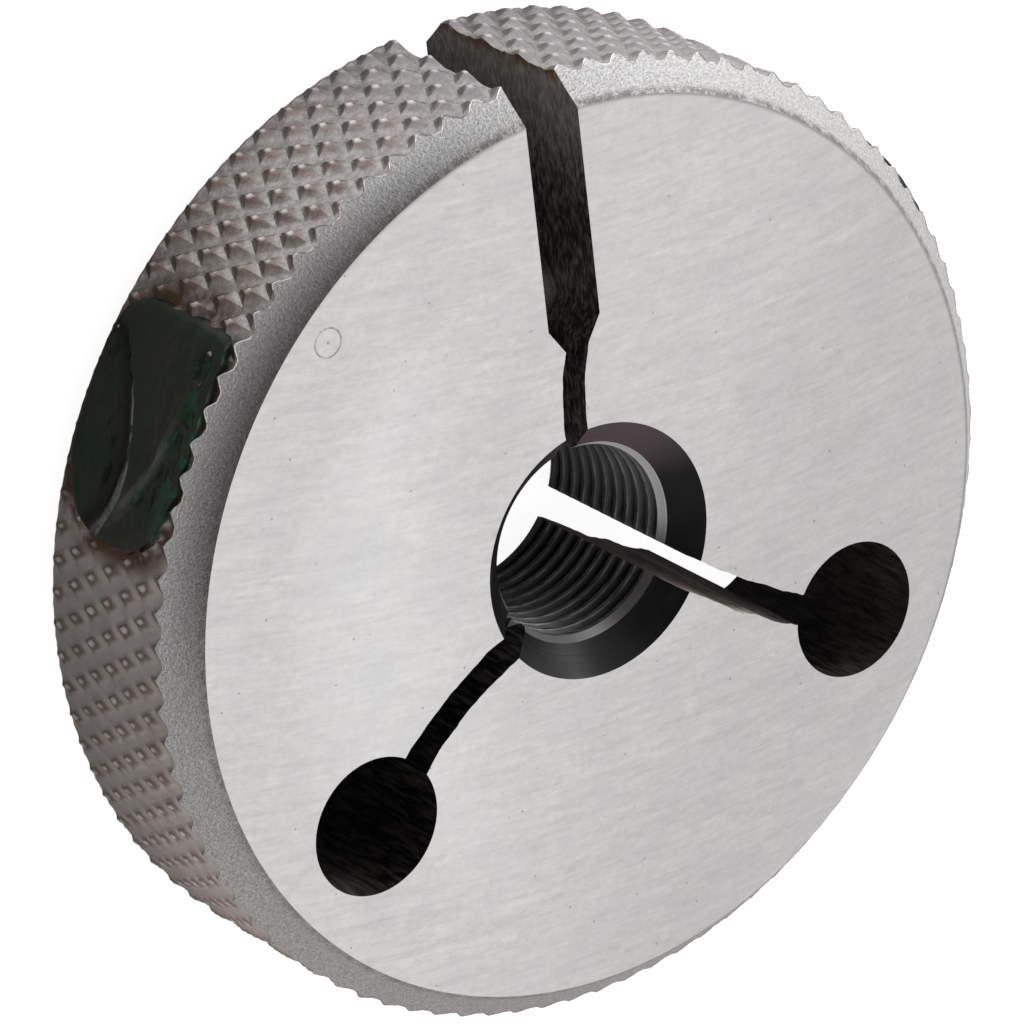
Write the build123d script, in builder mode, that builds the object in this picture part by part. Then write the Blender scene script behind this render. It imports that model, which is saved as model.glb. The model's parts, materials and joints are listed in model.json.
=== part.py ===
"""Adjustable thread ring gauge, lying on one face.

The frame's origin is on the axis of the gauging thread, in the plane of the lower face.
+Z runs along that axis, out of the upper face, and +Y runs out through the adjusting slot.
All lengths are millimetres and all angles are degrees.
"""
from build123d import *
from math import ceil, cos, floor, radians, sin
import os

os.makedirs("parts", exist_ok=True)

# ---------------------------------------------------------------- the turned ring blank
outside_diameter = 44.45        # over the points of the knurl
thickness = 11.11
edge_bevel_radial = 1.57        # bevel round each face, measured on the face
edge_bevel_axial = 1.65         # the same bevel, measured along the rim

# ---------------------------------------------------------------- the diamond knurl
knurl_count = 92                # diamonds in one row round the rim
knurl_row_pitch = 1.287         # from one row to the next, along the axis
knurl_depth = 0.47
knurl_first_row = 2.53          # from the upper face down to the highest whole row
knurl_phase = 1.73              # turn of that row from +X

# ---------------------------------------------------------------- the threaded bore
thread_minor_diameter = 8.80    # crests of the internal thread
lead_diameter = 9.26            # plain band between countersink and thread
lead_depth = 1.62               # from a face to the first thread
countersink_diameter = 11.76
countersink_depth = 1.22

# ---------------------------------------------------------------- slots and relief holes
slot_width = 2.75               # milled outer part of the adjusting slot
slot_floor = 11.0               # distance of the milled part's end from the axis
slot_shoulder = 1.2             # sloping run from the milled width to the saw kerf
slot_kerf = 1.2                 # sawn inner part of the adjusting slot
slot_kerf_start = 0.18          # how far that cut wanders to one side: at the shoulders,
slot_kerf_bow = -0.50           # halfway in,
slot_kerf_end = 0.10            # and past the bore's edge
relief_diameter = 6.4
relief_radius = 15.56           # of the relief holes' centres
relief_right_angle = -30.8
relief_left_angle = -147.3
relief_kerf = 1.42              # saw cuts from the bore to the relief holes
kerf_right_start = 0.50         # how far each saw cut wanders off the straight line: in the
kerf_right_bow = -0.48          # bore, halfway along, and at its relief hole
kerf_right_end = -0.45
kerf_left_start = 0.80
kerf_left_bow = -0.76
kerf_left_end = 0.50

# ---------------------------------------------------------------- the locking device
device_offset = 10.77           # its axis lies this far from the bore's axis
mouth_diameter = 7.94           # counterbore on one side, tapped hole on the other
sleeve_diameter = 5.0
sleeve_length = 9.8
sleeve_seat = 4.0               # depth of the sleeve's stopped end beyond the slot wall
locking_screw_diameter = 3.2
locking_screw_reach = 6.5       # thread engaged in the adjusting screw
locking_head_diameter = 7.2
locking_head_height = 3.2
head_web = 3.0                  # metal between the sleeve's stop and the head's seat
adjusting_screw_length = 8.0
adjusting_travel = 0.8          # room past the adjusting screw's inner end
driver_slot_width = 1.2
driver_slot_depth = 1.4
screw_edge = 0.3                # bevels on screws and sleeve
fit_clearance = 0.02            # radial, sleeve in its reamed hole
thread_clearance = 0.04         # radial, between mating threads
shank_clearance = 0.15          # radial, round the locking screw's shank

# ---------------------------------------------------------------- the wax seals
wax_height = 9.0                # across the rim, square to the device's axis
wax_lift = 0.06                 # the seal's centre stands this far out beyond the device axis
wax_proud = 0.12                # above the points of the knurl
wax_square_share = 0.30         # corner radii, as shares of half the seal's width
wax_round_share = 0.87

# ---------------------------------------------------------------- worked out from the above
tip_radius = outside_diameter / 2
root_radius = tip_radius - knurl_depth
face_radius = tip_radius - edge_bevel_radial
mid_height = thickness / 2
bore_radius = thread_minor_diameter / 2
knurl_step = 360 / knurl_count
mouth_radius = mouth_diameter / 2
wax_width = thickness - 2 * edge_bevel_axial
kerf_inner_end = bore_radius / 2
sleeve_stop = slot_width / 2 + sleeve_seat
sleeve_start = sleeve_stop - sleeve_length
tapped_bottom = sleeve_start + adjusting_travel
adjusting_end = sleeve_start - adjusting_screw_length
head_seat = sleeve_stop + head_web
head_end = head_seat + locking_head_height
shank_end = sleeve_start - locking_screw_reach
shank_bore_radius = locking_screw_diameter / 2 + shank_clearance
beyond = outside_diameter       # more than far enough to run out of the ring


# ---------------------------------------------------------------- knurled barrel
def rim_point(radius, turn, height):
    """A point at a radius, a number of knurl steps round the rim, and a height."""
    angle = radians(knurl_phase + turn * knurl_step)
    return Vector(radius * cos(angle), radius * sin(angle), height)


def facet(*corners):
    return Face(Wire.make_polygon(corners, close=True))


def knurled_barrel():
    """Raised diamonds in staggered rows, each a pyramid of four flat facets.

    The barrel ends in the middle of a row, just past each face of the ring, where its
    outline is a flat star.
    """
    first_height = thickness - knurl_first_row
    rows_up = floor(knurl_first_row / knurl_row_pitch) + 1
    rows_down = ceil(first_height / knurl_row_pitch) + 1
    rows = range(-rows_down, rows_up + 1)
    facets = []
    for row in rows:
        height = first_height + row * knurl_row_pitch
        stagger = (row % 2) / 2
        for column in range(knurl_count):
            turn = column + stagger
            tip = rim_point(tip_radius, turn, height)
            left = rim_point(root_radius, turn - 0.5, height)
            right = rim_point(root_radius, turn + 0.5, height)
            if row < rows_up:
                above = rim_point(root_radius, turn, height + knurl_row_pitch)
                facets += [facet(tip, right, above), facet(tip, above, left)]
            if row > -rows_down:
                below = rim_point(root_radius, turn, height - knurl_row_pitch)
                facets += [facet(tip, left, below), facet(tip, below, right)]
    for row in (-rows_down, rows_up):
        height = first_height + row * knurl_row_pitch
        stagger = (row % 2) / 2
        star = []
        for column in range(knurl_count):
            star.append(rim_point(tip_radius, column + stagger, height))
            star.append(rim_point(root_radius, column + stagger + 0.5, height))
        facets.append(facet(*star))
    return Solid(Shell(facets))


# ---------------------------------------------------------------- ring body
def polar(radius, angle):
    return (radius * cos(radians(angle)), radius * sin(radians(angle)))


def offset_point(along, aside, angle):
    """A point a distance along a direction and a distance to its left."""
    x, y = polar(along, angle)
    side_x, side_y = polar(aside, angle + 90)
    return (x + side_x, y + side_y)


bevel_slope = edge_bevel_axial / edge_bevel_radial
overrun = 1.0                   # the bevels' cones run out past the knurl points
lead_radius = lead_diameter / 2
countersink_radius = countersink_diameter / 2
turned_outline = [
    (face_radius, 0),
    (tip_radius + overrun, edge_bevel_axial + overrun * bevel_slope),
    (tip_radius + overrun, thickness - edge_bevel_axial - overrun * bevel_slope),
    (face_radius, thickness),
    (countersink_radius, thickness),
    (lead_radius, thickness - countersink_depth),
    (bore_radius, thickness - lead_depth),
    (bore_radius, lead_depth),
    (lead_radius, countersink_depth),
    (countersink_radius, 0),
]
saw_cuts = [
    (relief_right_angle, kerf_right_start, kerf_right_bow, kerf_right_end),
    (relief_left_angle, kerf_left_start, kerf_left_bow, kerf_left_end),
]

with BuildPart() as ring_body:
    add(knurled_barrel())
    with BuildSketch(Plane.XZ):
        with BuildLine():
            Polyline(*turned_outline, close=True)
        make_face()
    revolve(axis=Axis.Z, mode=Mode.INTERSECT)

    # Adjusting slot: milled from the rim, then sloping shoulders, then a saw kerf to the bore.
    with BuildSketch():
        with BuildLine():
            Polyline(
                (-slot_width / 2, beyond),
                (-slot_width / 2, slot_floor),
                (-slot_kerf / 2, slot_floor - slot_shoulder),
                (slot_kerf / 2, slot_floor - slot_shoulder),
                (slot_width / 2, slot_floor),
                (slot_width / 2, beyond),
                close=True,
            )
        make_face()
        kerf_outer_end = slot_floor - slot_shoulder / 2
        with BuildLine() as slot_kerf_path:
            ThreePointArc(
                (slot_kerf_start, kerf_outer_end),
                (slot_kerf_bow, (kerf_outer_end + kerf_inner_end) / 2),
                (slot_kerf_end, kerf_inner_end),
            )
        trace(slot_kerf_path.line, line_width=slot_kerf)
    extrude(amount=thickness, mode=Mode.SUBTRACT)

    # Relief holes, each joined to the bore by a saw cut that was run by hand.
    with BuildSketch():
        with Locations(*[polar(relief_radius, angle) for angle, start, bow, end in saw_cuts]):
            Circle(relief_diameter / 2)
        for angle, start, bow, end in saw_cuts:
            with BuildLine() as saw_path:
                ThreePointArc(
                    offset_point(kerf_inner_end, start, angle),
                    offset_point((kerf_inner_end + relief_radius) / 2, bow, angle),
                    offset_point(relief_radius, end, angle),
                )
            trace(saw_path.line, line_width=relief_kerf)
    extrude(amount=thickness, mode=Mode.SUBTRACT)

    # Holes of the locking device, square to the slot and halfway between the faces.
    device_holes = [
        (mouth_radius, -beyond, tapped_bottom),
        (sleeve_diameter / 2 + fit_clearance, tapped_bottom, sleeve_stop),
        (shank_bore_radius, sleeve_stop, head_seat),
        (mouth_radius, head_seat, beyond),
    ]
    for radius, start, end in device_holes:
        with BuildSketch(Plane.YZ.offset(start)):
            with Locations((device_offset, mid_height)):
                Circle(radius)
        extrude(amount=end - start, mode=Mode.SUBTRACT)
ring_body.part.label = "ring_body"
export_step(ring_body.part, "parts/ring_body.step")


# ---------------------------------------------------------------- locking device
def device_plane(x):
    """A plane square to the locking device's axis, centred on it, facing +X."""
    return Plane(origin=(x, device_offset, mid_height), x_dir=(0, 1, 0), z_dir=(1, 0, 0))


with BuildPart() as adjusting_sleeve:
    with BuildSketch(device_plane(sleeve_start)):
        Circle(sleeve_diameter / 2)
        Circle(shank_bore_radius, mode=Mode.SUBTRACT)
    extrude(amount=sleeve_length)
    outer_edges = adjusting_sleeve.edges().filter_by(GeomType.CIRCLE).sort_by(SortBy.RADIUS)[-2:]
    chamfer(outer_edges, length=screw_edge)
adjusting_sleeve.part.label = "adjusting_sleeve"
export_step(adjusting_sleeve.part, "parts/adjusting_sleeve.step")

with BuildPart() as adjusting_screw:
    with BuildSketch(device_plane(adjusting_end)):
        Circle(mouth_radius - thread_clearance)
        Circle(locking_screw_diameter / 2 + thread_clearance, mode=Mode.SUBTRACT)
    extrude(amount=adjusting_screw_length)
    outer_edges = adjusting_screw.edges().filter_by(GeomType.CIRCLE).sort_by(SortBy.RADIUS)[-2:]
    chamfer(outer_edges, length=screw_edge)
    with BuildSketch(device_plane(adjusting_end)):
        Rectangle(driver_slot_width, mouth_diameter)
    extrude(amount=driver_slot_depth, mode=Mode.SUBTRACT)
adjusting_screw.part.label = "adjusting_screw"
export_step(adjusting_screw.part, "parts/adjusting_screw.step")

with BuildPart() as locking_screw:
    with BuildSketch(device_plane(shank_end)):
        Circle(locking_screw_diameter / 2)
    extrude(amount=head_seat - shank_end)
    chamfer(locking_screw.faces().sort_by(Axis.X)[0].edges(), length=screw_edge)
    with BuildSketch(device_plane(head_seat)):
        Circle(locking_head_diameter / 2)
    extrude(amount=locking_head_height)
    chamfer(locking_screw.faces().sort_by(Axis.X)[-1].edges(), length=screw_edge)
    with BuildSketch(device_plane(head_end)):
        Rectangle(driver_slot_width, locking_head_diameter)
    extrude(amount=-driver_slot_depth, mode=Mode.SUBTRACT)
locking_screw.part.label = "locking_screw"
export_step(locking_screw.part, "parts/locking_screw.step")


# ---------------------------------------------------------------- wax seals
# Each fills one mouth of the device hole and spills a little over the knurl. The edge nearer
# the slot is straight, where the wax was scraped off, and the other end is rounded.
wax_seals = [
    ("adjusting_screw_wax", adjusting_end, -beyond),
    ("locking_screw_wax", head_end, beyond),
]
for seal_name, screw_end, outside in wax_seals:
    with BuildPart() as wax_seal:
        with BuildSketch(device_plane(screw_end)) as wax_outline:
            with Locations((wax_lift, 0)):
                Rectangle(wax_height, wax_width)
            near_slot = wax_outline.vertices().group_by(Axis.X)[-1]
            fillet(near_slot, wax_square_share * wax_width / 2)
            far_end = wax_outline.vertices().group_by(Axis.X)[0]
            fillet(far_end, wax_round_share * wax_width / 2)
            Circle(mouth_radius)
        extrude(amount=outside - screw_end)
        with BuildSketch():
            Circle(tip_radius + wax_proud)
        extrude(amount=thickness, mode=Mode.INTERSECT)
        add(ring_body.part, mode=Mode.SUBTRACT)
    wax_seal.part.label = seal_name
    export_step(wax_seal.part, f"parts/{seal_name}.step")
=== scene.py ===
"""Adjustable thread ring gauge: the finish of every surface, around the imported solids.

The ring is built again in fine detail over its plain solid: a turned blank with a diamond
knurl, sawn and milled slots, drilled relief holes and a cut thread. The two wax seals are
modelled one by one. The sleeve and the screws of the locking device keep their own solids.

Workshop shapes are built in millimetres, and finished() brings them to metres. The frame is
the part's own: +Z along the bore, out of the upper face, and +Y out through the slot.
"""
import json
from math import ceil, cos, floor, hypot, pi, radians, sin, sqrt, tau

import bmesh
import bpy
from mathutils import Matrix, Vector
from mathutils.noise import noise


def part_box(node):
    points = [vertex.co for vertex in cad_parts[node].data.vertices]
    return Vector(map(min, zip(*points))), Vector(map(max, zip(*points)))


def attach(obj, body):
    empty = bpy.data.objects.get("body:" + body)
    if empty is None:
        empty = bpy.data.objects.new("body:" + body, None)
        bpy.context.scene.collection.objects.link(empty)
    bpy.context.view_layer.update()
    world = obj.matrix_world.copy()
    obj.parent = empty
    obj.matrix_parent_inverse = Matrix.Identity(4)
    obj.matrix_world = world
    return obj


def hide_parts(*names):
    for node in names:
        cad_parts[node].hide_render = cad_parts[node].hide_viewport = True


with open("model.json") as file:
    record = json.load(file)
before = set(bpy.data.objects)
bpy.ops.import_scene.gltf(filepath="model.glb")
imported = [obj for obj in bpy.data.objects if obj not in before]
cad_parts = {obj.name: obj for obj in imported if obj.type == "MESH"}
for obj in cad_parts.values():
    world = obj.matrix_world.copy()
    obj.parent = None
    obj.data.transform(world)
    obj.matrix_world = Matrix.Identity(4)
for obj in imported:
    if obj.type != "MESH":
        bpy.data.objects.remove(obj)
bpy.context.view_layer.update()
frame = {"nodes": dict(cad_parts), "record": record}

# ---------------------------------------------------------------- sizes, in millimetres
MM = 0.001
MOUNTS = {mount["name"]: mount for mount in frame["record"]["mounts"]}
OPENINGS = frame["record"]["physics"]["openings"]


def node_box(name):
    """A solid's lowest and highest corners, in millimetres."""
    low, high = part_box(name)
    return low / MM, high / MM


_, ring_high = node_box("ring_body")
sleeve_low, sleeve_high = node_box("adjusting_sleeve")
adjusting_low, _ = node_box("adjusting_screw")
_, locking_high = node_box("locking_screw")

THICKNESS = ring_high.z
TIP_RADIUS = ring_high.x
BEVEL_RADIAL = 1.57
BEVEL_AXIAL = 1.65
FACE_RADIUS = TIP_RADIUS - BEVEL_RADIAL

KNURL_COUNT = 92
KNURL_PITCH = 1.287
KNURL_DEPTH = 0.38              # flat-bottomed grooves, so less than the solid's flat facets need
KNURL_FIRST_ROW = 2.53          # below the upper face
KNURL_PHASE = radians(1.73)
SHALLOW_SHARE = 0.40            # of its depth, which the knurl loses on its worn side

BORE_RADIUS = MOUNTS["gauging_thread"]["dims"]["r_mm"]
THREAD_LENGTH = MOUNTS["gauging_thread"]["dims"]["length_mm"]
THREAD_PITCH = 25.4 / 32
THREAD_DEPTH = 0.43
THREAD_OVERLAP = 0.02           # past the ends of the leads
LEAD_DEPTH = (THICKNESS - THREAD_LENGTH) / 2
LEAD_RADIUS = 4.63
COUNTERSINK_RADIUS = 5.88
COUNTERSINK_DEPTH = 1.22

SLOT_HALF = 1.375
SLOT_FLOOR = 11.0
SLOT_SHOULDER = 9.8
SLOT_KERF_HALF = 0.6
SLOT_KERF_WANDER = (0.18, -0.50, 0.10)      # aside, at its start, middle and end
SLOT_KERF_WAVER = 0.06          # unevenness of its edges
SLOT_KERF_STEPS = 40
RELIEF_RADIUS = 3.2
RELIEF_KERF_HALF = 0.71
RELIEF_KERF_WAVER = 0.10
RELIEF_KERF_STEPS = 48
RELIEF_KERF_WANDER = {"right_relief_hole": (0.50, -0.48, -0.45),
                      "left_relief_hole": (0.80, -0.76, 0.50)}

DEVICE_Y = (sleeve_low.y + sleeve_high.y) / 2
DEVICE_Z = THICKNESS / 2
MOUTH_RADIUS = 3.97
SLEEVE_CLEARANCE = 0.02
SLEEVE_RADIUS = (sleeve_high.y - sleeve_low.y) / 2 + SLEEVE_CLEARANCE
SHANK_RADIUS = 1.75
HEAD_HEIGHT = 3.2
HEAD_SEAT = locking_high.x - HEAD_HEIGHT
ADJUSTING_TRAVEL = 0.8          # room past the adjusting screw's inner end
TAPPED_BOTTOM = sleeve_low.x + ADJUSTING_TRAVEL

CUT_OVERRUN = 1.0               # cutters run this far out of both faces
BEYOND_RIM = TIP_RADIUS + 2     # and this far out from the axis
BLANK_SIDES = 288
HOLE_SIDES = 96
DISC_SIDES = 256

# Directions round the bore, in degrees from +X: where the knurl is worn, where the face's edge darkens, and
# where painted light and shade lie.
WORN_AND_SHADED_SIDE = 205                 # the knurl below the left seal: worn shallow, with its flanks and burr painted darker as painted shade
DARK_EDGE_SIDE = 40                 # the face's edge and the bevel's edge are darker toward this side
SHADED_BEVEL = 137
PAINTED_SHADE_FLOORS = 112
PAINTED_SHEEN_FLANKS = 72
PAINTED_SHADOW_FLANKS = 128
PAINTED_SHEEN_COUNTERSINK = 68
PAINTED_SHADE_LEAD_WIDE = 200
PAINTED_SHADE_LEAD_NARROW = -48
PAINTED_LIGHT_THREAD = 25
PAINTED_LIGHT_SAW_CUT = -31


# ---------------------------------------------------------------- node helpers
def put(tree, kind, links=None, **settings):
    """Adds a node, sets its properties, and links or sets its inputs by name or number."""
    made = tree.nodes.new(kind)
    for name, value in settings.items():
        setattr(made, name, value)
    for socket, value in (links or {}).items():
        if isinstance(value, bpy.types.NodeSocket):
            tree.links.new(value, made.inputs[socket])
        else:
            made.inputs[socket].default_value = value
    return made


def calc(tree, operation, *values, clamp=False):
    """A Math node's result."""
    links = dict(enumerate(values))
    return put(tree, "ShaderNodeMath", links, operation=operation, use_clamp=clamp).outputs[0]


def times(tree, first, *others):
    """The product of two or more values."""
    for other in others:
        first = calc(tree, "MULTIPLY", first, other)
    return first


def plus(tree, first, second):
    """The sum of two values."""
    return calc(tree, "ADD", first, second)


def minus(tree, first, second):
    """The first value less the second."""
    return calc(tree, "SUBTRACT", first, second)


def over(tree, first, second):
    """The first value divided by the second."""
    return calc(tree, "DIVIDE", first, second)


def parts(tree, vector):
    """A vector's x, y and z."""
    return put(tree, "ShaderNodeSeparateXYZ", {0: vector}).outputs


def joined(tree, *values):
    """A vector from its x, y and z."""
    return put(tree, "ShaderNodeCombineXYZ", dict(enumerate(values))).outputs[0]


def stretch(tree, vector, factors):
    """A vector multiplied by another, part by part."""
    return put(tree, "ShaderNodeVectorMath", {0: vector, 1: factors}, operation="MULTIPLY").outputs[0]


def remap(tree, value, low, high, to_low=0.0, to_high=1.0, smooth=True):
    """A value moved from one range to another, eased at both ends."""
    kind = "SMOOTHSTEP" if smooth else "LINEAR"
    links = {"Value": value, "From Min": low, "From Max": high, "To Min": to_low, "To Max": to_high}
    return put(tree, "ShaderNodeMapRange", links, interpolation_type=kind).outputs["Result"]


def blend(tree, factor, first, second, mode="MIX"):
    """A mix of two colours."""
    mixer = put(tree, "ShaderNodeMix", data_type="RGBA", blend_type=mode)
    for index, value in ((0, factor), (6, first), (7, second)):
        if isinstance(value, bpy.types.NodeSocket):
            tree.links.new(value, mixer.inputs[index])
        elif isinstance(value, tuple):
            mixer.inputs[index].default_value = (*value, 1.0)
        else:
            mixer.inputs[index].default_value = value
    return mixer.outputs[2]


def grain(tree, place, scale, detail=2.0, roughness=0.5):
    """A noise texture's value."""
    links = {"Vector": place, "Scale": scale, "Detail": detail, "Roughness": roughness}
    return put(tree, "ShaderNodeTexNoise", links).outputs[0]


def new_group(name, inputs, outputs, kind="ShaderNodeTree"):
    """A node group with named inputs, as (name, socket type, default), and named outputs."""
    tree = bpy.data.node_groups.new(name, kind)
    for label, socket_type, default in inputs:
        socket = tree.interface.new_socket(label, in_out="INPUT", socket_type=socket_type)
        if default is not None:
            socket.default_value = default
    for label, socket_type in outputs:
        tree.interface.new_socket(label, in_out="OUTPUT", socket_type=socket_type)
    return tree, put(tree, "NodeGroupInput").outputs, put(tree, "NodeGroupOutput").inputs


def use(tree, group, links=None):
    """Places a node group in a material and returns its outputs."""
    made = put(tree, "ShaderNodeGroup", node_tree=group)
    for socket, value in (links or {}).items():
        if isinstance(value, bpy.types.NodeSocket):
            tree.links.new(value, made.inputs[socket])
        else:
            made.inputs[socket].default_value = value
    return made.outputs


FLOAT, INTEGER, VECTOR = "NodeSocketFloat", "NodeSocketInt", "NodeSocketVector"
GEOMETRY, MATERIAL = "NodeSocketGeometry", "NodeSocketMaterial"


# ---------------------------------------------------------------- shared shader groups
def place_group():
    """Where a point is on the ring, in millimetres: place, radius, height and angle."""
    tree, _, result = new_group(
        "ring place", [],
        [("Place", VECTOR), ("Radius", FLOAT), ("Height", FLOAT), ("Angle", FLOAT)])
    position = put(tree, "ShaderNodeTexCoord").outputs["Object"]
    place = put(tree, "ShaderNodeVectorMath", {0: position, "Scale": 1 / MM},
                operation="SCALE").outputs[0]
    x, y, z = parts(tree, place)
    squares = plus(tree, times(tree, x, x), times(tree, y, y))
    tree.links.new(place, result["Place"])
    tree.links.new(calc(tree, "SQRT", squares), result["Radius"])
    tree.links.new(z, result["Height"])
    tree.links.new(calc(tree, "ARCTAN2", y, x), result["Angle"])
    return tree


def grinding_group():
    """Straight grinding marks: long fine scratches that run one way across a face."""
    tree, given, result = new_group(
        "grinding marks",
        [("Place", VECTOR, None), ("Turn", FLOAT, 0.0), ("Fineness", FLOAT, 4.0)],
        [("Marks", FLOAT), ("Clouds", FLOAT)])
    turned = put(tree, "ShaderNodeVectorRotate", {"Vector": given["Place"], "Angle": given["Turn"]},
                 rotation_type="Z_AXIS").outputs[0]
    long_marks = grain(tree, stretch(tree, turned, (0.10, 1.0, 1.0)), given["Fineness"], 5.0, 0.72)
    short_marks = grain(tree, stretch(tree, turned, (0.30, 1.3, 1.0)), given["Fineness"], 4.0, 0.65)
    marks = calc(tree, "MULTIPLY_ADD", long_marks, 0.4, times(tree, short_marks, 0.3))
    marks = calc(tree, "MULTIPLY_ADD", grain(tree, given["Place"], 3.0, 4.0, 0.7), 0.3, marks)
    tree.links.new(marks, result["Marks"])
    tree.links.new(grain(tree, given["Place"], 0.35, 4.0, 0.6), result["Clouds"])
    return tree


def blasted_group():
    """The even peppery grain that bead blasting leaves on steel."""
    tree, given, result = new_group(
        "blasted grain", [("Place", VECTOR, None), ("Scale", FLOAT, 5.0)],
        [("Grain", FLOAT), ("Pits", FLOAT)])
    fine = grain(tree, given["Place"], given["Scale"], 3.0, 0.7)
    links = {"Vector": given["Place"], "Scale": times(tree, given["Scale"], 0.8)}
    cells = put(tree, "ShaderNodeTexVoronoi", links).outputs["Distance"]
    tree.links.new(fine, result["Grain"])
    tree.links.new(remap(tree, cells, 0.12, 0.34, 1.0, 0.0), result["Pits"])
    return tree


def film_group():
    """A thin uneven film of oil and oxide that breaks a colour up into soft patches."""
    tree, given, result = new_group(
        "oil film", [("Place", VECTOR, None), ("Scale", FLOAT, 1.0), ("Cover", FLOAT, 0.5)],
        [("Film", FLOAT)])
    patches = grain(tree, given["Place"], given["Scale"], 5.0, 0.62)
    threshold = minus(tree, 1.0, given["Cover"])
    low = minus(tree, threshold, 0.16)
    high = plus(tree, threshold, 0.16)
    tree.links.new(remap(tree, patches, low, high), result["Film"])
    return tree


PLACE = place_group()
GRINDING = grinding_group()
BLASTED = blasted_group()
FILM = film_group()


# ---------------------------------------------------------------- materials
def finish(name, colour, roughness, metallic, height=None, relief=0.0, **constants):
    """The last nodes of a material: Principled BSDF with its links, values and bump.

    relief is the bump's depth in millimetres.
    """
    material = bpy.data.materials[name]
    tree = material.node_tree
    shader = tree.nodes["Principled BSDF"]
    for socket, value in (("Base Color", colour), ("Roughness", roughness), ("Metallic", metallic)):
        if isinstance(value, bpy.types.NodeSocket):
            tree.links.new(value, shader.inputs[socket])
        elif isinstance(value, tuple):
            shader.inputs[socket].default_value = (*value, 1.0)
        else:
            shader.inputs[socket].default_value = value
    for socket, value in constants.items():
        shader.inputs[socket.replace("_", " ")].default_value = value
    if height is not None:
        bump = put(tree, "ShaderNodeBump", {"Strength": 1.0, "Distance": relief * MM, "Height": height})
        tree.links.new(bump.outputs[0], shader.inputs["Normal"])
    return material


def new_material(name):
    """An empty material: its node tree, and where its points are on the ring."""
    material = bpy.data.materials.new(name)
    material.use_nodes = True
    return material.node_tree, use(material.node_tree, PLACE)


GRIND_TURN = radians(4.5)
GRIND_CURVE = 0.0042            # per millimetre: the marks are wide arcs


def ground_face():
    """Both faces: surface-ground steel, with a speck here and there, a painted highlight on the -X side
    near the bore, and painted shade toward -30 degrees round the bore.
    """
    tree, at = new_material("ground face")
    x, y, _ = parts(tree, at["Place"])
    turn = calc(tree, "MULTIPLY_ADD", x, -GRIND_CURVE, GRIND_TURN)
    marks = use(tree, GRINDING, {"Place": at["Place"], "Turn": turn, "Fineness": 3.2})
    tone = remap(tree, marks["Marks"], 0.32, 0.68, smooth=False)
    colour = blend(tree, tone, (0.470, 0.452, 0.440), (0.640, 0.622, 0.608))
    colour = blend(tree, remap(tree, marks["Clouds"], 0.30, 0.70, 0.0, 0.30), colour, (0.46, 0.45, 0.45))
    # painted shade: the face is painted darker toward -30 degrees round the bore, where side falls below
    # zero
    side = calc(tree, "MULTIPLY_ADD", x, -0.866, times(tree, y, 0.5))
    # painted highlight: the face is painted lighter where x is below -4 mm, fading out past radius 18 mm
    bright = times(tree, remap(tree, x, -11.5, -4.0, 0.16, 0.0),
                   remap(tree, at["Radius"], 13.0, 18.0, 1.0, 0.0))
    colour = blend(tree, bright, colour, (0.95, 0.94, 0.93))
    colour = blend(tree, remap(tree, side, -13.0, 0.0, 0.16, 0.0), colour, (0.20, 0.19, 0.19))
    specks = put(tree, "ShaderNodeTexVoronoi", {"Vector": at["Place"], "Scale": 0.9}).outputs["Distance"]
    colour = blend(tree, remap(tree, specks, 0.03, 0.07, 0.55, 0.0), colour, (0.13, 0.12, 0.11))
    colour = blend(tree, scribed_mark(tree, at), colour, (0.20, 0.19, 0.18))
    # a darker line along the face's edge, strongest toward one side
    edge = times(tree, remap(tree, at["Radius"], FACE_RADIUS - 0.20, FACE_RADIUS, 0.0, 0.6),
                 facing(tree, at, DARK_EDGE_SIDE, -0.1, 0.5))
    colour = blend(tree, edge, colour, (0.15, 0.14, 0.13))
    roughness = remap(tree, tone, 0.0, 1.0, 0.46, 0.36)
    return finish("ground face", colour, roughness, 1.0, marks["Marks"], 0.010)


MARK_PLACE = (19.14 * cos(radians(130.75)), 19.14 * sin(radians(130.75)), THICKNESS)
MARK_RADIUS = 0.66


def scribed_mark(tree, at):
    """A faint scribed ring with a pin-prick in it, left by a hardness test."""
    gap = put(tree, "ShaderNodeVectorMath", {0: at["Place"], 1: MARK_PLACE},
              operation="DISTANCE").outputs["Value"]
    line = calc(tree, "ABSOLUTE", minus(tree, gap, MARK_RADIUS))
    faint = remap(tree, grain(tree, at["Place"], 2.5, 3.0, 0.6), 0.35, 0.6, 0.25, 0.85)
    ring = times(tree, remap(tree, line, 0.02, 0.06, 1.0, 0.0), faint)
    return calc(tree, "MAXIMUM", ring, remap(tree, gap, 0.04, 0.10, 0.7, 0.0))


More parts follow.
